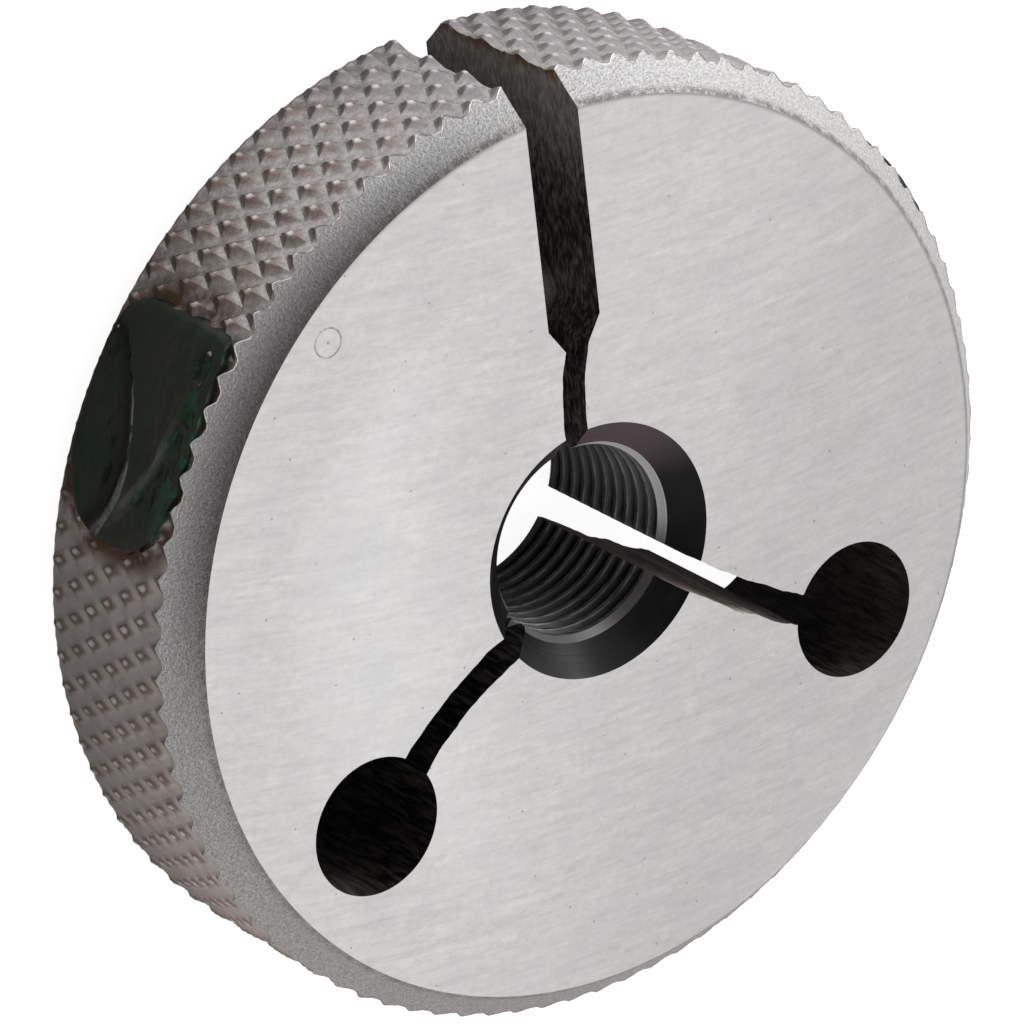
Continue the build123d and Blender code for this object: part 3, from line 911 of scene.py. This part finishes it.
BEVEL_STEPS = 6
BEVEL_HOLLOW = 0.03
BEVEL_RUNOUT = 1.6              # share of the bevel at which the blank's outline turns back
THREAD_STOCK = 0.2              # left inside the bore for the thread to be cut from


def bevel_point(share):
    """A point of the lower bevel, which is turned slightly hollow."""
    sag = BEVEL_HOLLOW * 4 * share * (1 - share)
    slope = hypot(BEVEL_RADIAL, BEVEL_AXIAL)
    return (FACE_RADIUS + share * BEVEL_RADIAL - sag * BEVEL_AXIAL / slope,
            share * BEVEL_AXIAL + sag * BEVEL_RADIAL / slope)


def turned_blank(materials):
    """The turned ring: faces, bevels, countersinks and leads. The knurl makes its rim."""
    inner = BORE_RADIUS - THREAD_STOCK
    lower = [bevel_point(step / BEVEL_STEPS) for step in range(BEVEL_STEPS + 1)]
    lower.append(bevel_point(BEVEL_RUNOUT))
    upper = [(radius, THICKNESS - height) for radius, height in reversed(lower)]
    outline = lower + upper + [
        (COUNTERSINK_RADIUS, THICKNESS), (LEAD_RADIUS, THICKNESS - COUNTERSINK_DEPTH),
        (BORE_RADIUS, THICKNESS - LEAD_DEPTH), (inner, THICKNESS - LEAD_DEPTH),
        (inner, LEAD_DEPTH), (BORE_RADIUS, LEAD_DEPTH),
        (LEAD_RADIUS, COUNTERSINK_DEPTH), (COUNTERSINK_RADIUS, 0),
    ]
    face, bevel, sink, lead = range(4)
    spans = [bevel] * (len(lower) + len(upper) - 1) + [face, sink, lead, lead, lead, lead, lead, sink, face]
    return lathe("turned blank", outline, BLANK_SIDES, materials=materials, spans=spans)


def mark_edges(made, soft_angle=radians(26)):
    """Smooths the faces, and keeps edges sharp at corners and where materials meet."""
    shape = bmesh.new()
    shape.from_mesh(made.data)
    for face in shape.faces:
        face.smooth = True
    for edge in shape.edges:
        if len(edge.link_faces) == 2:
            first, second = edge.link_faces
            bend = first.normal.angle(second.normal, 0.0)
            edge.smooth = bend < soft_angle and first.material_index == second.material_index
    shape.to_mesh(made.data)
    shape.free()


def build_ring():
    face, bevel, rim = ground_face(), blasted_bevel(), knurled_rim()
    sink, lead, thread, oxide = countersink(), bright_lead(), cut_thread(), black_oxide()
    # the relief walls are the same oxide painted darker, as painted shade in the deep holes
    relief = black_oxide("relief walls in painted shade", 0.36, (1.0, 1.0, 0.16), 4.5)
    ring = turned_blank([face, bevel, sink, lead])
    first_height = THICKNESS - KNURL_FIRST_ROW
    barrel = grown("knurled barrel", knurl_tree(), {
        "Tip Radius": TIP_RADIUS, "Depth": KNURL_DEPTH, "Count": KNURL_COUNT,
        "Row Pitch": KNURL_PITCH, "Rows Below": ceil(first_height / KNURL_PITCH) + 1,
        "Rows Above": floor(KNURL_FIRST_ROW / KNURL_PITCH) + 1, "First Height": first_height,
        "Phase": KNURL_PHASE, "Cuts": 6, "Softness": 0.04, "Hollow": 1.0, "Rake": 0.34, "Lean": 0.583,
        "Groove": 0.30, "Shallow Share": SHALLOW_SHARE, "Unevenness": 0.16}, rim)
    combine(ring, outward(barrel), "INTERSECT")
    plug = grown("thread plug", thread_tree(), {
        "Minor Radius": BORE_RADIUS, "Depth": THREAD_DEPTH, "Pitch": THREAD_PITCH,
        "Start": LEAD_DEPTH - THREAD_OVERLAP, "End": THICKNESS - LEAD_DEPTH + THREAD_OVERLAP, "Fade": 0.3,
        "Columns": 96, "Rows": 16}, thread)
    combine(ring, outward(plug), "DIFFERENCE")
    for tool in slot_cuts(oxide) + relief_cuts(relief) + [device_hole(oxide)]:
        combine(ring, tool, "DIFFERENCE")
    mark_edges(ring)
    ring.name = "gauge_ring"
    return ring


# ---------------------------------------------------------------- burr, by geometry nodes
def burr_tree():
    """A fine rounded burr along every edge that carries the mark."""
    tree, given, result = new_group(
        "raised burr",
        [("Geometry", GEOMETRY, None), ("Thickness", FLOAT, 0.04), ("Sides", INTEGER, 5),
         ("Material", MATERIAL, None)],
        [("Geometry", GEOMETRY)], "GeometryNodeTree")
    marked = put(tree, "GeometryNodeInputNamedAttribute", {"Name": "burr"}, data_type="BOOLEAN")
    lines = put(tree, "GeometryNodeMeshToCurve",
                {"Mesh": given["Geometry"], "Selection": marked.outputs["Attribute"]}).outputs[0]
    ring = put(tree, "GeometryNodeCurvePrimitiveCircle",
               {"Resolution": given["Sides"], "Radius": given["Thickness"]}).outputs["Curve"]
    tube = put(tree, "GeometryNodeCurveToMesh",
               {"Curve": lines, "Profile Curve": ring, "Fill Caps": True}).outputs[0]
    end_tree(tree, tube, given["Material"], result)
    return tree


BURR_THICKNESS = 0.028


def add_burr(ring, first, second):
    """Runs a bright burr along the ring's edges between two materials, and joins it on."""
    mesh = ring.data
    numbers = {material.name: number for number, material in enumerate(mesh.materials)}
    wanted = {numbers[first], numbers[second]}
    shape = bmesh.new()
    shape.from_mesh(mesh)
    marked = [len(edge.link_faces) == 2
              and {face.material_index for face in edge.link_faces} == wanted for edge in shape.edges]
    shape.free()
    mesh.attributes.new("burr", "BOOLEAN", "EDGE").data.foreach_set("value", marked)
    holder = bpy.data.objects.new("burr", mesh)
    bpy.context.scene.collection.objects.link(holder)
    steel = bright_burr()
    burr = grown_from(holder, burr_tree(), {"Thickness": BURR_THICKNESS, "Sides": 5}, steel)
    mesh.materials.append(steel)
    burr.data.polygons.foreach_set("material_index", [len(mesh.materials) - 1] * len(burr.data.polygons))
    whole = bmesh.new()
    whole.from_mesh(mesh)
    whole.from_mesh(burr.data)
    whole.to_mesh(mesh)
    whole.free()
    mesh.attributes.remove(mesh.attributes["burr"])
    bpy.data.objects.remove(burr)


# ---------------------------------------------------------------- wax seals
SEAL_HALF_Y = 4.5
SEAL_SPILL = 0.06               # over the bevels
SEAL_HALF_Z = DEVICE_Z - BEVEL_AXIAL + SEAL_SPILL
SEAL_LIFT = 0.06                # out beyond the device's axis
SEAL_Y = DEVICE_Y + SEAL_LIFT
SEAL_Z = DEVICE_Z
SEAL_PROUD = 0.12
SEAL_SPOKES, SEAL_HOOPS = 144, 40
RIGHT_SEAL_INWARD = 0.7         # it lies this much nearer the bore
FOLD_AHEAD = 1.2                # the pressed fold: where it is highest, how high, how curved
FOLD_HEIGHT = 0.45
FOLD_CURVE = 0.143
PLUG_CLEARANCE = 0.01           # between a seal's plug and its mouth
CAP_UNDERSIDE = TIP_RADIUS - 1.5
PLUG_END = TIP_RADIUS - 1.3


def seal_edge(turn, seed, side):
    """How far the seal's edge lies from its centre; the left one is square near the slot."""
    ahead, across = cos(turn), sin(turn)
    square = 0.5 + 0.5 * max(-1.0, min(1.0, 2.2 * ahead)) if side < 0 else 0.0
    bluntness = 2.4 + 5.6 * square
    reach = (abs(ahead / SEAL_HALF_Y) ** bluntness + abs(across / SEAL_HALF_Z) ** bluntness)
    waver = 0.16 * noise(Vector((ahead * 2.4, across * 2.4, seed)))
    waver += 0.07 * noise(Vector((ahead * 9.0, across * 9.0, seed + 5.0)))
    return reach ** (-1.0 / bluntness) + waver - 0.06


def seal_height(ahead, across, seed):
    """The wax's height above the knurl points: folds pressed in along the rim, and lumps."""
    fold = FOLD_HEIGHT - FOLD_CURVE * (ahead + FOLD_AHEAD) ** 2
    past = across - fold
    if past < 0:
        height = -0.55 * (1 - cos(min(-past / 1.15, 1.0) * pi)) / 2
        height += 0.45 * max(0.0, min(1.0, (-past - 1.5) / 1.6))
    else:
        height = -0.16 * min(past / 1.6, 1.0)
    second = across - (2.75 - 0.12 * (ahead - 1.5) ** 2)
    height += 0.20 * 2.718 ** (-(second / 0.28) ** 2) - 0.22 * max(0.0, min(1.0, second / 0.5))
    place = Vector((ahead * 0.55, across * 0.8, seed))
    lumps = 0.16 * noise(place) + 0.10 * noise(place * 2.7)
    edge_lumps = max(0.0, min(1.0, (across - 2.2) / 1.2))
    return height + lumps + 0.22 * edge_lumps * noise(place * 4.5)


def build_seal(side, screw_end, seed, material, ring, name, node):
    """One wax seal: a plug in the mouth of the hole, and a cap over the knurl round it."""
    spokes, hoops = SEAL_SPOKES, SEAL_HOOPS
    inward = RIGHT_SEAL_INWARD if side > 0 else 0.0
    top, bottom = [], []
    for hoop in range(hoops + 1):
        share = hoop / hoops
        for spoke in range(spokes):
            turn = tau * spoke / spokes
            reach = seal_edge(turn, seed, side) * share
            ahead, across = reach * cos(turn), reach * sin(turn)
            height = SEAL_PROUD + seal_height(ahead, across, seed) * (1 - share ** 6)
            height -= 0.16 * max(0.0, share - 0.93) / 0.07 + 0.03
            y, z = SEAL_Y + ahead - inward, SEAL_Z + across
            radius = min(TIP_RADIUS + height, TIP_RADIUS + SEAL_PROUD)
            top.append((side * sqrt(radius ** 2 - y ** 2), y, z))
            bottom.append((side * sqrt(CAP_UNDERSIDE ** 2 - y ** 2), y, z))
    faces = []
    count = len(top)
    for hoop in range(hoops):
        for spoke in range(spokes):
            here, there = hoop * spokes + spoke, hoop * spokes + (spoke + 1) % spokes
            faces.append((here, there, there + spokes, here + spokes))
            faces.append((count + here, count + here + spokes, count + there + spokes, count + there))
    rim = hoops * spokes
    for spoke in range(spokes):
        here, there = rim + spoke, rim + (spoke + 1) % spokes
        faces.append((here, there, count + there, count + here))
    cap = outward(mesh_object(name, top + bottom, faces, material))
    radius = MOUTH_RADIUS - PLUG_CLEARANCE
    inner, outer = sorted((screw_end, side * TIP_RADIUS))
    plug = lathe("wax plug", [(0, inner), (radius, inner), (radius, outer), (0, outer)], HOLE_SIDES, "X",
                 (0, DEVICE_Y, DEVICE_Z), [material])
    disc = [(0, 0), (PLUG_END, 0), (PLUG_END, THICKNESS), (0, THICKNESS)]
    combine(plug, lathe("disc", disc, DISC_SIDES, materials=[material]), "INTERSECT")
    combine(cap, plug, "UNION")
    body = bpy.data.objects.new("ring copy", ring.data.copy())
    bpy.context.scene.collection.objects.link(body)
    combine(cap, body, "DIFFERENCE")
    keep_material(cap, material)
    mark_edges(cap, radians(50))
    return finished(cap, "sealing_wax", node)


def keep_material(made, material):
    """Leaves a piece one material, whatever its cutters brought."""
    made.data.materials.clear()
    made.data.materials.append(material)
    made.data.polygons.foreach_set("material_index", [0] * len(made.data.polygons))


# ---------------------------------------------------------------- studio
def studio_floor():
    """A pale floor that looks white, and that metal mirrors as a room of painted light: for reflections it
    glows brightest behind the part, warm elsewhere, with a painted shadow round the part.
    """
    bpy.ops.mesh.primitive_plane_add(size=6.0, location=(0, 0, 0))
    board = bpy.context.object
    board.name = "studio floor"
    material = bpy.data.materials.new("pale floor")
    material.use_nodes = True
    tree = material.node_tree
    path = put(tree, "ShaderNodeLightPath").outputs
    place = put(tree, "ShaderNodeTexCoord").outputs["Object"]
    x, y, _ = parts(tree, place)
    # painted light: the glow that reflections see is brightest behind the part, a little more toward +X and
    # in front on the -X side
    right = remap(tree, x, -0.03, 0.03)
    behind = calc(tree, "MULTIPLY_ADD", x, 0.75, times(tree, y, 0.66))
    behind = remap(tree, behind, -0.001, 0.006)
    front = times(tree, remap(tree, y, -0.022, -0.003, 0.26, 0.0), minus(tree, 1.0, right))
    radius = calc(tree, "SQRT", plus(tree, times(tree, x, x), times(tree, y, y)))
    # painted shadow: that glow is darkened close round the part
    clear = remap(tree, radius, TIP_RADIUS * MM, TIP_RADIUS * MM * 1.2, 0.2, 1.0)
    painted_reflection_glow = calc(tree, "MULTIPLY_ADD", right, 0.10, calc(tree, "MULTIPLY_ADD", behind, 0.46, front))
    painted_reflection_glow = times(tree, painted_reflection_glow, clear)
    glow = plus(tree, times(tree, path["Is Camera Ray"], 0.94),
                times(tree, path["Is Glossy Ray"], painted_reflection_glow))
    # painted light: reflections see the glow warm except behind the part
    pale = calc(tree, "MAXIMUM", behind, path["Is Camera Ray"])
    shader = tree.nodes["Principled BSDF"]
    shader.inputs["Base Color"].default_value = (0.38, 0.345, 0.325, 1.0)
    shader.inputs["Roughness"].default_value = 0.9
    shader.inputs["Specular IOR Level"].default_value = 0.1
    tree.links.new(blend(tree, pale, (1.0, 0.86, 0.79), (1.0, 1.0, 1.0)), shader.inputs["Emission Color"])
    tree.links.new(glow, shader.inputs["Emission Strength"])
    board.data.materials.append(material)


def lobe(tree, toward, way, start, strength):
    """Light that swells toward one direction of the room."""
    lit = put(tree, "ShaderNodeVectorMath", {0: toward, 1: Vector(way).normalized()},
              operation="DOT_PRODUCT").outputs["Value"]
    return remap(tree, lit, start, 1.0, 0.0, strength)


def studio_light():
    """A soft room that is bright on one side, and one large lamp on that side."""
    world = bpy.data.worlds.new("studio")
    bpy.context.scene.world = world
    world.use_nodes = True
    tree = world.node_tree
    toward = put(tree, "ShaderNodeTexCoord").outputs["Generated"]
    level = plus(tree, lobe(tree, toward, (0.86, 0.48, 0.20), 0.35, 1.22),
                 lobe(tree, toward, (0.02, -0.40, 0.91), 0.50, 1.27))
    level = plus(tree, level, lobe(tree, toward, (-0.35, -0.88, 0.30), 0.2, 0.17))
    colour = blend(tree, remap(tree, level, 0.0, 0.8), (1.0, 0.90, 0.87), (0.97, 0.985, 1.0))
    sideways = parts(tree, toward)["X"]
    level = plus(tree, level, remap(tree, sideways, -0.9, 0.1, 0.06, 0.14))
    background = tree.nodes["Background"]
    tree.links.new(colour, background.inputs["Color"])
    tree.links.new(level, background.inputs["Strength"])

    lamp("soft lamp", 0.5, 4.0, (0.9, 0.45, 0.55))


def lamp(name, size, watts, place):
    """A round lamp that points at the part."""
    light = bpy.data.lights.new(name, "AREA")
    light.shape = "DISK"
    light.size = size
    light.energy = watts
    made = bpy.data.objects.new(name, light)
    bpy.context.scene.collection.objects.link(made)
    made.location = place
    made.rotation_mode = "QUATERNION"
    made.rotation_quaternion = (-Vector(place)).to_track_quat("-Z", "Y")


def camera():
    """Looks down at the upper face from the seal's side, rolled so that the slot leans left."""
    lens = bpy.data.cameras.new("camera")
    lens.lens = 266.98
    lens.sensor_width = 36.0
    lens.clip_start = 0.01
    lens.dof.use_dof = False
    made = bpy.data.objects.new("camera", lens)
    bpy.context.scene.collection.objects.link(made)
    right = Vector((0.802358, -0.102648, 0.587951))
    up = Vector((0.333642, 0.893945, -0.299241))
    toward = right.cross(up)
    eye = Vector((-166.2127, 146.2565, 257.0023)) * MM
    made.matrix_world = Matrix((
        (right.x, up.x, toward.x, eye.x), (right.y, up.y, toward.y, eye.y),
        (right.z, up.z, toward.z, eye.z), (0, 0, 0, 1)))
    bpy.context.scene.camera = made


ring = build_ring()
wax = sealing_wax()
build_seal(-1, adjusting_low.x, 3.0, wax, ring, "left_wax_seal", "adjusting_screw_wax")
build_seal(1, locking_high.x, 12.0, wax, ring, "right_wax_seal", "locking_screw_wax")
add_burr(ring, "blasted bevel", "knurled rim")
finished(ring, "hardened_steel", "ring_body")
steel = turned_steel()
for node in ("adjusting_sleeve", "adjusting_screw", "locking_screw"):
    piece = frame["nodes"][node]
    piece.data.materials.clear()
    piece.data.materials.append(steel)
studio_floor()
studio_light()
camera()
bpy.context.scene.view_settings.view_transform = "Standard"
